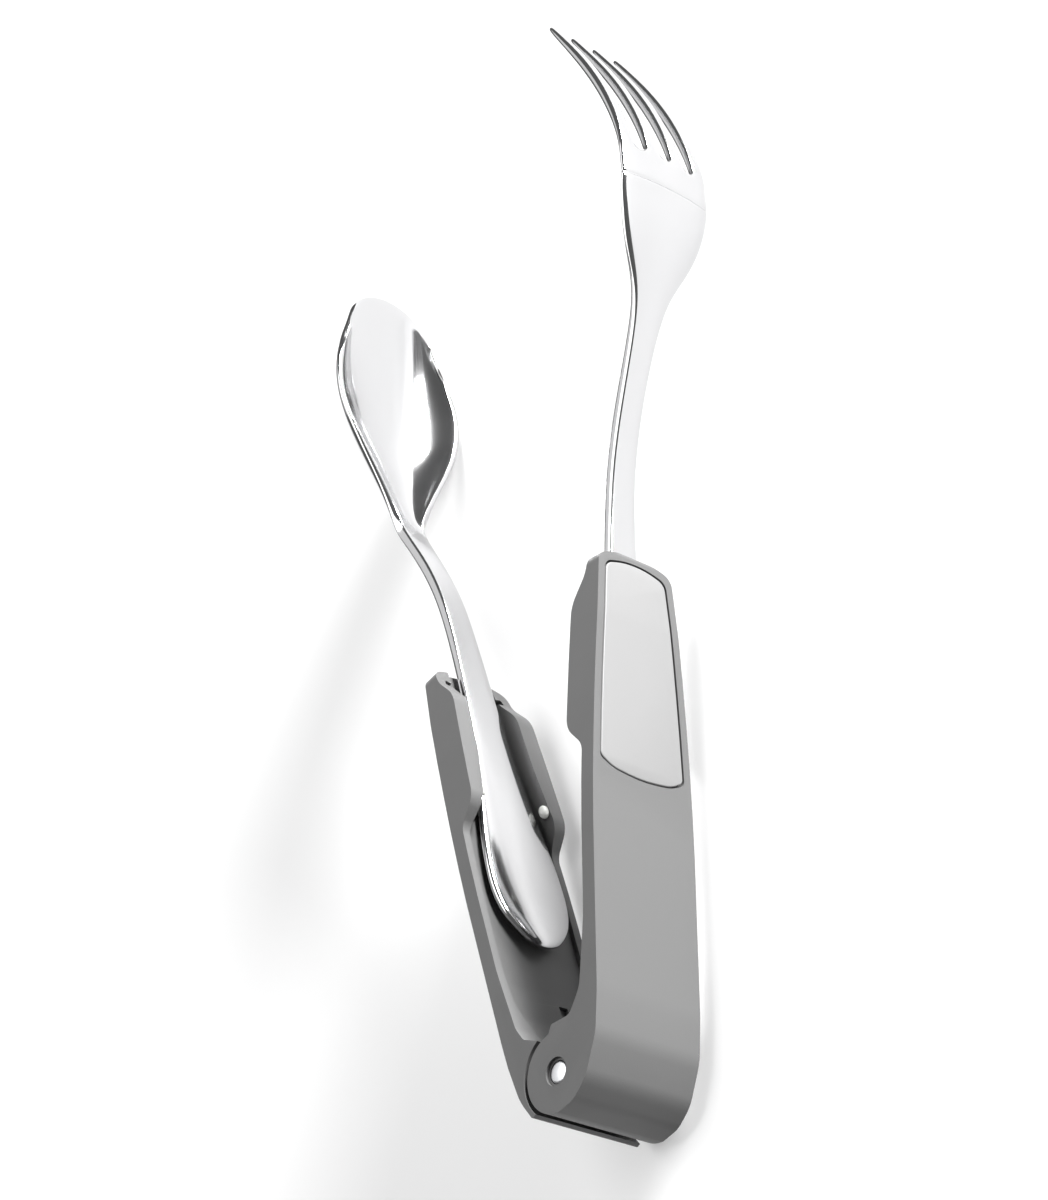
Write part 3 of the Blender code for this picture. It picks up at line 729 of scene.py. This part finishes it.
class TONGS_OT_spring(Operator):
    """Winds the torsion spring and lays one leg along each arm"""

    bl_idname = "tongs.spring"
    bl_label = "Torsion spring"

    def execute(self, context):
        s = context.scene.tongs_spring
        path = bpy.data.curves.new("spring_line", "CURVE")
        path.dimensions = "3D"
        points = self.line(s)
        spline = path.splines.new("POLY")
        spline.points.add(len(points) - 1)
        for point, place_at in zip(spline.points, points):
            point.co = (*place_at, 1.0)
        maker = link(bpy.data.objects.new("torsion_spring_wire", path))
        material = spring_wire(s)
        tree = wire_sweep(material)
        mod = maker.modifiers.new("sweep", "NODES")
        mod.node_group = tree
        mod[tree.interface.items_tree["Wire radius"].identifier] = s.wire_radius
        wire = frozen(maker, "torsion_spring_wire")
        place(wire, Matrix.Identity(4), sharp=50)
        wire.data.materials.clear()
        wire.data.materials.append(material)
        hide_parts("torsion_spring")
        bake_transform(wire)
        return {"FINISHED"}

    def line(self, s):
        """The wire's centre line: the spoon arm's leg, the coil about the pin, the fork arm's leg."""
        lean = radians(HALF_OPENING)
        stations = [4.0 * MM, 8.5 * MM, 14.0 * MM, s.leg_length]
        first, last = pi + lean, -lean
        turn = 2 * pi * (s.turns + 1) - (first - last)
        rise = s.pitch * turn / (2 * pi)
        steps = round(turn / (2 * pi) * 48)
        low = HINGE_HEIGHT + s.low

        def leg(sign, along):
            out = s.coil_radius + s.leg_lift * min(1.0, max(0.0, (along - 4 * MM) / (7 * MM)))
            return sign * (along * sin(lean) + out * cos(lean)), along * cos(lean) - out * sin(lean)

        points = [(*leg(-1, along), low) for along in reversed(stations)]
        for k in range(steps + 1):
            a = first + turn * k / steps
            points.append((s.coil_radius * cos(a), s.coil_radius * sin(a), low + rise * k / steps))
        points += [(*leg(1, along), low + rise) for along in stations]
        return points


def wire_sweep(material):
    """Geometry nodes that sweep a round wire along a line."""
    tree = bpy.data.node_groups.new("torsion_spring_sweep", "GeometryNodeTree")
    sockets = tree.interface
    sockets.new_socket("Line", in_out="INPUT", socket_type="NodeSocketGeometry")
    radius = sockets.new_socket("Wire radius", in_out="INPUT", socket_type="NodeSocketFloat")
    radius.default_value = 0.55 * MM
    sockets.new_socket("Wire", in_out="OUTPUT", socket_type="NodeSocketGeometry")
    source = node(tree, "NodeGroupInput")
    ring = node(
        tree,
        "GeometryNodeCurvePrimitiveCircle",
        {"Resolution": 16},
        {"Radius": source.outputs["Wire radius"]},
    )
    sweep = node(
        tree,
        "GeometryNodeCurveToMesh",
        {"Fill Caps": True},
        {"Curve": source.outputs["Line"], "Profile Curve": ring.outputs["Curve"]},
    )
    real = node(tree, "GeometryNodeRealizeInstances", {}, {"Geometry": sweep.outputs["Mesh"]})
    dressed = node(
        tree,
        "GeometryNodeSetMaterial",
        {"Material": material},
        {"Geometry": real.outputs["Geometry"]},
    )
    node(tree, "NodeGroupOutput", {}, {"Wire": dressed.outputs["Geometry"]})
    return tree


# ---------------------------------------------------------------- fork and spoon


def strip(rows, slots_from=None):
    """Two sheets of quads through rows of (u, v, z, half thickness) points.

    From the row slots_from on, every third column is left open: the slots between the tines.
    """
    bm = bmesh.new()
    upper, lower = [], []
    for i, row in enumerate(rows):
        before = rows[max(i - 1, 0)]
        after = rows[min(i + 1, len(rows) - 1)]
        up, down = [], []
        for k, (u, v, z, half) in enumerate(row):
            along = Vector(after[k][:3]) - Vector(before[k][:3])
            across = Vector(row[min(k + 1, len(row) - 1)][:3]) - Vector(row[max(k - 1, 0)][:3])
            normal = along.cross(across)
            normal = normal.normalized() if normal.length > 1e-9 else Vector((0, 1, 0))
            if normal.y > 0:
                normal = -normal
            here = Vector((u, v, z))
            up.append(bm.verts.new((here + normal * half) * MM))
            down.append(bm.verts.new((here - normal * half) * MM))
        upper.append(up)
        lower.append(down)
    cells = set()
    for i in range(len(rows) - 1):
        for k in range(len(rows[0]) - 1):
            if slots_from is not None and i >= slots_from and k % 3 == 2:
                continue
            cells.add((i, k))
            for sheet, flip in ((upper, False), (lower, True)):
                quad = [sheet[i][k], sheet[i][k + 1], sheet[i + 1][k + 1], sheet[i + 1][k]]
                bm.faces.new(quad[::-1] if flip else quad)
    return bm, cells, upper, lower


def close_sides(bm, cells, upper, lower):
    """Walls round every free edge of the sheet."""
    for i, k in cells:
        for other, one, two in (
            ((i - 1, k), (i, k), (i, k + 1)),
            ((i + 1, k), (i + 1, k + 1), (i + 1, k)),
            ((i, k - 1), (i + 1, k), (i, k)),
            ((i, k + 1), (i, k + 1), (i + 1, k + 1)),
        ):
            if other in cells:
                continue
            a, b = upper[one[0]][one[1]], upper[two[0]][two[1]]
            c, d = lower[two[0]][two[1]], lower[one[0]][one[1]]
            bm.faces.new((b, a, d, c))


def smooth_body(name, bm, side):
    """The closed cage, subdivided and put in its arm's place."""
    bmesh.ops.remove_doubles(bm, verts=bm.verts, dist=1e-7)
    bmesh.ops.recalc_face_normals(bm, faces=bm.faces)
    loose = [v for v in bm.verts if not v.link_faces]
    bmesh.ops.delete(bm, geom=loose, context="VERTS")
    blank = mesh_object(name + "_blank", bm)
    modifier(blank, "SUBSURF", levels=2, render_levels=2)
    made = frozen(blank, name)
    return place(made, arm_matrix(side))


def spread(count):
    return [-1 + 2 * k / (count - 1) for k in range(count)]


def handle_rows(s):
    """Rows of the teardrop handle and stem: (u, v, half width, thickness, crown, end bow)."""
    w, t = s.handle_half / MM, s.stem_half / MM
    start = HANDLE_START
    return [
        (start + 1.5, 7.3, 4.2, 1.5, 0.4, -1.5),
        (start + 3.6, 7.3, 6.6, 1.9, 0.75, -2.0),
        (start + 7.0, 7.3, 8.6, 2.05, 1.0, -1.4),
        (start + 12.0, 7.3, w * 0.985, 2.1, 1.15, -0.5),
        (start + 17.0, 7.3, w, 2.1, 1.25, 0),
        (start + 24.0, 7.3, w * 0.945, 2.1, 1.25, 0),
        (start + 31.0, 7.25, w * 0.83, 2.15, 1.15, 0),
        (start + 38.0, 7.2, w * 0.69, 2.2, 0.95, 0),
        (start + 47.0, 7.1, w * 0.55, 2.3, 0.65, 0),
        (start + 58.0, 7.0, t * 1.18, 2.45, 0.35, 0),
        (start + 71.0, 6.9, t * 1.02, 2.55, 0.15, 0),
        (start + 82.0, 7.0, t * 0.9, 2.7, 0.05, 0),
    ]


def bent_rows(stations, shares, edge=0.72):
    """Turns stations into rows of points; shares are the columns' places from -1 to 1. edge thins the rim."""
    rows = []
    for i, (u, v, half, thick, crown, bow) in enumerate(stations):
        a = stations[max(i - 1, 0)]
        b = stations[min(i + 1, len(stations) - 1)]
        slope = atan2(b[1] - a[1], b[0] - a[0])
        row = []
        for share in shares:
            rise = -crown * (1 - share * share)
            along = -bow * share * share
            x = u + along * cos(slope) - rise * sin(slope)
            y = v + along * sin(slope) + rise * cos(slope)
            rim = 1 - (1 - edge) * share**4
            row.append((x, y, share * half, thick / 2 * rim))
        rows.append(row)
    return rows


class TONGS_OT_fork(Operator):
    """Forges the fork: teardrop handle, stem, creased head and four tines"""

    bl_idname = "tongs.fork"
    bl_label = "Fork"

    def execute(self, context):
        s = context.scene.tongs_cutlery
        head = s.fork_half / MM
        # Three columns to a tine; the quads between tines stop at the slots' roots.
        half_tine = 0.165
        centres = (-0.835, -0.278, 0.278, 0.835)
        shares = [c + d for c in centres for d in (-half_tine, 0.0, half_tine)]
        stations = handle_rows(s) + [
            (127.5, 7.6, 3.15, 2.8, 0.0, 0),
            (140.0, 10.2, 2.95, 2.8, 0.0, 0),
            (153.0, 14.3, 3.15, 2.6, 0.0, 0),
            (161.0, 16.9, 4.0, 2.35, -0.25, 0),
            (166.0, 18.4, 6.0, 2.15, -0.7, 0),
            (171.0, 19.9, 8.9, 2.0, -1.2, 0),
            (177.0, 21.4, 11.0, 1.9, -1.4, 0),
            (182.5, 22.3, head, 1.8, -1.15, 0),
            # A fine groove crosses both faces of the head where it bends.
            (184.8, 22.68, head, 1.8, -1.1, 0),
            (185.3, 22.72, head, 1.75, -1.08, 0),
            (185.65, 22.74, head, 1.0, -1.06, 0),
            (186.0, 22.74, head, 1.75, -1.05, 0),
            (186.5, 22.72, head, 1.8, -1.05, 0),
            (191.2, 22.35, head, 1.8, -1.0, 0),
        ]
        rows = bent_rows(stations, shares)
        tine_stations = [
            (192.6, 22.2, 1.0, 1.85, 0.165),
            (196.0, 21.5, 0.995, 2.0, 0.146),
            (203.0, 19.1, 0.985, 2.25, 0.13),
            (212.0, 14.9, 0.97, 2.35, 0.12),
            (221.0, 9.6, 0.955, 2.2, 0.11),
            (229.0, 4.1, 0.94, 1.8, 0.1),
            (233.6, 0.8, 0.93, 1.4, 0.085),
            (235.6, -0.7, 0.925, 1.0, 0.055),
        ]
        for i, (u, v, scale, thick, half) in enumerate(tine_stations):
            crown = -0.95 * max(0.0, 1 - i / 5)
            nxt = tine_stations[min(i + 1, len(tine_stations) - 1)]
            prv = tine_stations[max(i - 1, 0)]
            slope = atan2(nxt[1] - prv[1], nxt[0] - prv[0])
            row = []
            for c in centres:
                for d in (-1, 0, 1):
                    share = c * scale + d * half
                    rise = -crown * (1 - share * share)
                    row.append((u - rise * sin(slope), v + rise * cos(slope), share * head, thick / 2))
            rows.append(row)
        bm, cells, upper, lower = strip(rows, slots_from=len(stations))
        close_sides(bm, cells, upper, lower)
        made = smooth_body("fork_steel", bm, "fork")
        finish(made, "fork_body", ["fork"], polished_stainless(s))
        return {"FINISHED"}


class TONGS_OT_spoon(Operator):
    """Forges the spoon: teardrop handle, stem and egg-shaped bowl"""

    bl_idname = "tongs.spoon"
    bl_label = "Spoon"

    def execute(self, context):
        s = context.scene.tongs_cutlery
        shares = spread(13)
        stations = handle_rows(s) + [
            (127.0, 7.5, 3.15, 2.8, 0.0, 0),
            (137.0, 9.4, 3.0, 2.8, 0.0, 0),
            (146.0, 12.0, 3.2, 2.6, 0.0, 0),
        ]
        rows = bent_rows(stations, shares)
        half_bowl, depth = s.bowl_half / MM, s.bowl_depth / MM
        start, end = BOWL_START, SPOON_END
        steps = (0.0, 0.05, 0.1, 0.17, 0.25, 0.34, 0.44, 0.54, 0.64, 0.73, 0.81, 0.88, 0.94, 0.985)
        for t in steps:
            row = []
            for share in shares:
                # Rows bow toward the tip, so that the last row is the tip's own edge.
                bend = t**2.2
                u = start + (end - start) * t - bend * 15.0 * share * share
                across = bowl_outline(t)
                swing = pi / 2 * (0.55 + 0.45 * bend)
                z = half_bowl * across * sin(share * swing) / sin(swing)
                at = max(0.0, (u - start) / (end - start))
                fall = (BOWL_RIM_END - BOWL_RIM_START) * at**0.95
                rim = BOWL_RIM_START + fall - 1.0 * sin(pi * at)
                rho = min(1.0, (share * share + max(0.0, (t - 0.45) / 0.535) ** 2 * (1 - share * share)))
                dish = depth * (1 - rho) * min(1.0, (at / 0.4)) ** 0.8 * (1.08 - 0.16 * at)
                thick = 1.7 + 0.7 * max(0.0, 1 - t * 6)
                row.append((u, rim + dish, z, thick / 2))
            rows.append(row)
        bm, cells, upper, lower = strip(rows)
        close_sides(bm, cells, upper, lower)
        made = smooth_body("spoon_steel", bm, "spoon")
        finish(made, "spoon_body", ["spoon"], polished_stainless(s))
        return {"FINISHED"}


def bowl_outline(t):
    """Half width of the bowl over its widest, from the neck to the tip."""
    grow = 0.19 + 0.81 * sin(pi / 2 * min(1.0, t / 0.6)) ** 1.5
    return grow if t < 0.6 else 1.0 - 0.32 * ((t - 0.6) / 0.4) ** 1.8


# ---------------------------------------------------------------- materials


def node(tree, kind, settings=None, links=None):
    """Adds one node. A setting names an input socket or, failing that, the node's own property."""
    made = tree.nodes.new(kind)
    for key, value in (settings or {}).items():
        if key in made.inputs:
            made.inputs[key].default_value = value
        else:
            setattr(made, key, value)
    for key, output in (links or {}).items():
        tree.links.new(output, made.inputs[key])
    return made


def bare_material(name):
    made = bpy.data.materials.new(name)
    made.use_nodes = True
    made.node_tree.nodes.clear()
    return made, made.node_tree


def noise(tree, coordinates, size, detail):
    """Noise in the object's own space, its features about size metres across."""
    return node(
        tree,
        "ShaderNodeTexNoise",
        {"Scale": 1 / size, "Detail": detail},
        {"Vector": coordinates.outputs["Object"]},
    )


def textured_plastic(name, tone, darker, roughness, spark):
    """Plastic off a spark-eroded mould: a fine even grain, with flow cloudiness in its sheen, and a painted
    highlight along its sharper convex edges.
    """
    made, tree = bare_material(name)
    at = node(tree, "ShaderNodeTexCoord")
    # Spark-eroded grain is near 0.05 mm in life; it is drawn at 0.28 mm so that it shows.
    grain = noise(tree, at, 0.28 * MM, 3.0)
    cloud = noise(tree, at, 14 * MM, 2.0)
    edge = node(tree, "ShaderNodeNewGeometry")
    # Convex edges, picked out by pointiness, are painted up to 16 % lighter: a painted highlight along the
    # rounded edges.
    painted_edge_highlight = node(
        tree,
        "ShaderNodeMapRange",
        {"From Min": 0.52, "From Max": 0.62, "To Min": 0.0, "To Max": 0.16},
        {"Value": edge.outputs["Pointiness"]},
    )
    base = node(tree, "ShaderNodeMix", {"data_type": "RGBA"})
    base.inputs[6].default_value = (*tone, 1.0)
    base.inputs[7].default_value = (*darker, 1.0)
    tree.links.new(cloud.outputs["Fac"], base.inputs[0])
    # The lighter tone that the painted edge highlight mixes in.
    bright = node(tree, "ShaderNodeMix", {"data_type": "RGBA"})
    bright.inputs[7].default_value = (*[min(1.0, c * 1.7) for c in tone], 1.0)
    tree.links.new(painted_edge_highlight.outputs["Result"], bright.inputs[0])
    tree.links.new(base.outputs[2], bright.inputs[6])
    rough = node(
        tree,
        "ShaderNodeMapRange",
        {"From Min": 0.3, "From Max": 0.7, "To Min": roughness - 0.04, "To Max": roughness + 0.05},
        {"Value": cloud.outputs["Fac"]},
    )
    bump = node(
        tree, "ShaderNodeBump", {"Strength": spark, "Distance": 0.03 * MM}, {"Height": grain.outputs["Fac"]}
    )
    shader = node(
        tree,
        "ShaderNodeBsdfPrincipled",
        {"IOR": 1.5, "Specular IOR Level": 0.32},
        {
            "Base Color": bright.outputs[2],
            "Roughness": rough.outputs["Result"],
            "Normal": bump.outputs["Normal"],
        },
    )
    node(tree, "ShaderNodeOutputMaterial", {}, {"Surface": shader.outputs["BSDF"]})
    return made


def moulded_plastic(s):
    """Glass-filled nylon, moulded: satin charcoal grey with a fine even grain."""
    found = bpy.data.materials.get("glass_filled_nylon_grey")
    if found:
        return found
    tone = tuple(s.body_colour)
    return textured_plastic("glass_filled_nylon_grey", tone, tuple(c * 0.94 for c in tone), 0.42, 0.35)


def panel_plastic(s):
    """ABS inlay, moulded with a finer grain than the arm and a little more sheen."""
    tone = tuple(s.panel_colour)
    return textured_plastic("abs_inlay_light_grey", tone, tuple(c * 0.95 for c in tone), 0.36, 0.2)


def nub_plastic(s):
    """Natural acetal: milky, smooth and a little waxy."""
    tone = tuple(s.nub_colour)
    return textured_plastic("natural_acetal", tone, tuple(c * 0.96 for c in tone), 0.3, 0.05)


def bush_acetal():
    """Grey acetal bush, turned smooth."""
    return textured_plastic("grey_acetal", linear("#6E7074"), linear("#66686B"), 0.38, 0.08)


def washer_nylon():
    """Black nylon washer, punched from sheet."""
    return textured_plastic("black_nylon", linear("#232324"), linear("#1D1D1E"), 0.5, 0.15)


def metal(name, tone, roughness, scratch_size, scratch_depth, stretch):
    """A polished or drawn metal: near-mirror with faint directional polishing lines and a soft haze."""
    made, tree = bare_material(name)
    at = node(tree, "ShaderNodeTexCoord")
    squeeze = node(tree, "ShaderNodeMapping", {"Scale": stretch}, {"Vector": at.outputs["Object"]})
    lines = node(
        tree,
        "ShaderNodeTexNoise",
        {"Scale": 1 / scratch_size, "Detail": 4.0, "Roughness": 0.6},
        {"Vector": squeeze.outputs["Vector"]},
    )
    haze = noise(tree, at, 22 * MM, 2.0)
    rough = node(
        tree,
        "ShaderNodeMapRange",
        {"From Min": 0.3, "From Max": 0.7, "To Min": roughness * 0.8, "To Max": roughness * 1.3},
        {"Value": haze.outputs["Fac"]},
    )
    bump = node(
        tree,
        "ShaderNodeBump",
        {"Strength": 0.12, "Distance": scratch_depth},
        {"Height": lines.outputs["Fac"]},
    )
    shader = node(
        tree,
        "ShaderNodeBsdfPrincipled",
        {"Base Color": (*tone, 1.0), "Metallic": 1.0},
        {"Roughness": rough.outputs["Result"], "Normal": bump.outputs["Normal"]},
    )
    node(tree, "ShaderNodeOutputMaterial", {}, {"Surface": shader.outputs["BSDF"]})
    return made


def polished_stainless(s):
    """18/10 stainless steel, buffed to a mirror: bright, with a trace of haze and buffing lines along it."""
    found = bpy.data.materials.get("polished_stainless_steel")
    if found:
        return found
    tone = tuple(s.steel_colour)
    return metal("polished_stainless_steel", tone, 0.1, 0.9 * MM, 0.006 * MM, (1.0, 0.08, 1.0))


def ground_pin_steel():
    """Stainless pin, its end ground flat: brighter and duller than the mirror polish of the cutlery."""
    return metal("ground_stainless_pin", linear("#CFD0D2"), 0.3, 0.25 * MM, 0.01 * MM, (1.0, 1.0, 1.0))


def spring_wire(s):
    """Drawn stainless spring wire: silvery with fine draw lines."""
    return metal("drawn_spring_steel", tuple(s.wire_colour), 0.24, 0.3 * MM, 0.01 * MM, (1.0, 1.0, 1.0))


# ---------------------------------------------------------------- stage


class TONGS_OT_stage(Operator):
    """Sets the pale floor, the soft lights and the camera"""

    bl_idname = "tongs.stage"
    bl_label = "Stage"

    def execute(self, context):
        s = context.scene.tongs_stage
        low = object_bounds()[0][2]
        self.floor(s, low)
        self.lights(context, s)
        self.camera(context, s)
        return {"FINISHED"}

    def floor(self, s, low):
        bm = bmesh.new()
        ends = ((-1, -1), (1, -1), (1, 1), (-1, 1))
        corners = [bm.verts.new((x * FLOOR_HALF, y * FLOOR_HALF, low - FLOOR_DROP)) for x, y in ends]
        bm.faces.new(corners)
        floor = mesh_object("stage_floor", bm)
        made, tree = bare_material("matt_white_card")
        shader = node(
            tree,
            "ShaderNodeBsdfPrincipled",
            {"Base Color": (*s.floor_colour, 1.0), "Roughness": 0.9, "Specular IOR Level": 0.1},
        )
        node(tree, "ShaderNodeOutputMaterial", {}, {"Surface": shader.outputs["BSDF"]})
        floor.data.materials.append(made)
        floor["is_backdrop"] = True

    def lights(self, context, s):
        world = bpy.data.worlds.new("studio_white")
        world.use_nodes = True
        background = world.node_tree.nodes["Background"].inputs
        background["Color"].default_value = (1.0, 1.0, 1.0, 1.0)
        background["Strength"].default_value = s.world_strength
        context.scene.world = world
        self.softbox("key_side", (1.65, 1.42, 0.3), (0.0, 0.1, 0.01), 1.4, 0.5, s.key_power)
        self.softbox("top_soft", (-0.15, 0.4, 1.2), (-0.1, 0.3, 0.0), 1.3, 1.3, s.top_power)
        self.softbox("back_soft", (-1.3, 1.15, 1.3), (0.0, 0.12, 0.0), 1.5, 1.3, s.back_power)

    def softbox(self, name, at, target, width, height, power):
        light = bpy.data.lights.new(name, "AREA")
        light.shape = "RECTANGLE"
        light.size = width
        light.size_y = height
        light.energy = power
        made = link(bpy.data.objects.new(name, light))
        made.location = at
        aim = Vector(target) - Vector(at)
        made.rotation_euler = aim.to_track_quat("-Z", "Y").to_euler()

    def camera(self, context, s):
        data = bpy.data.cameras.new("camera")
        data.sensor_fit = "VERTICAL"
        data.sensor_height = 36.0
        data.lens = s.camera_lens
        data.clip_start = 0.01
        camera = link(bpy.data.objects.new("camera", data))
        right = Vector((0.656, -0.117, -0.746)).normalized()
        up = Vector((0.454, 0.85, 0.266))
        back = right.cross(up).normalized()
        up = back.cross(right)
        turn = Matrix((right, up, back)).transposed()
        at = Vector((0.4157, -0.2863, 0.4206 + HINGE_HEIGHT))
        # Turned the least that brings the object's middle to the middle of the frame.
        middle = Vector((0.0, 0.107, HINGE_HEIGHT + 0.005))
        nod = (-back).rotation_difference((middle - at).normalized()).to_matrix()
        camera.matrix_world = Matrix.Translation(at) @ (nod @ turn).to_4x4()
        context.scene.camera = camera
        context.scene.view_settings.view_transform = "Standard"


class TONGS_PT_sidebar(Panel):
    """Lists every piece with its sizes and colours"""

    bl_idname = "TONGS_PT_sidebar"
    bl_label = "Tongs"
    bl_space_type = "VIEW_3D"
    bl_region_type = "UI"
    bl_category = "Tongs"

    def draw(self, context):
        for name, group in SETTINGS.items():
            box = self.layout.box()
            box.label(text=name.replace("_", " ").capitalize())
            for key in group.__annotations__:
                box.prop(getattr(context.scene, name), key)
        for operator in PIECES:
            self.layout.operator(operator.bl_idname)


PIECES = (
    TONGS_OT_fork_arm,
    TONGS_OT_spoon_arm,
    TONGS_OT_panels,
    TONGS_OT_nubs,
    TONGS_OT_hinge,
    TONGS_OT_spring,
    TONGS_OT_fork,
    TONGS_OT_spoon,
    TONGS_OT_stage,
)


def register():
    for group in SETTINGS.values():
        bpy.utils.register_class(group)
    for name, group in SETTINGS.items():
        setattr(bpy.types.Scene, name, PointerProperty(type=group))
    for operator in PIECES:
        bpy.utils.register_class(operator)
    bpy.utils.register_class(TONGS_PT_sidebar)


def unregister():
    bpy.utils.unregister_class(TONGS_PT_sidebar)
    for operator in reversed(PIECES):
        bpy.utils.unregister_class(operator)
    for name in SETTINGS:
        delattr(bpy.types.Scene, name)
    for group in reversed(list(SETTINGS.values())):
        bpy.utils.unregister_class(group)


def main():
    register()
    for operator in PIECES:
        group, name = operator.bl_idname.split(".")
        getattr(getattr(bpy.ops, group), name)()


if __name__ == "__main__":
    main()
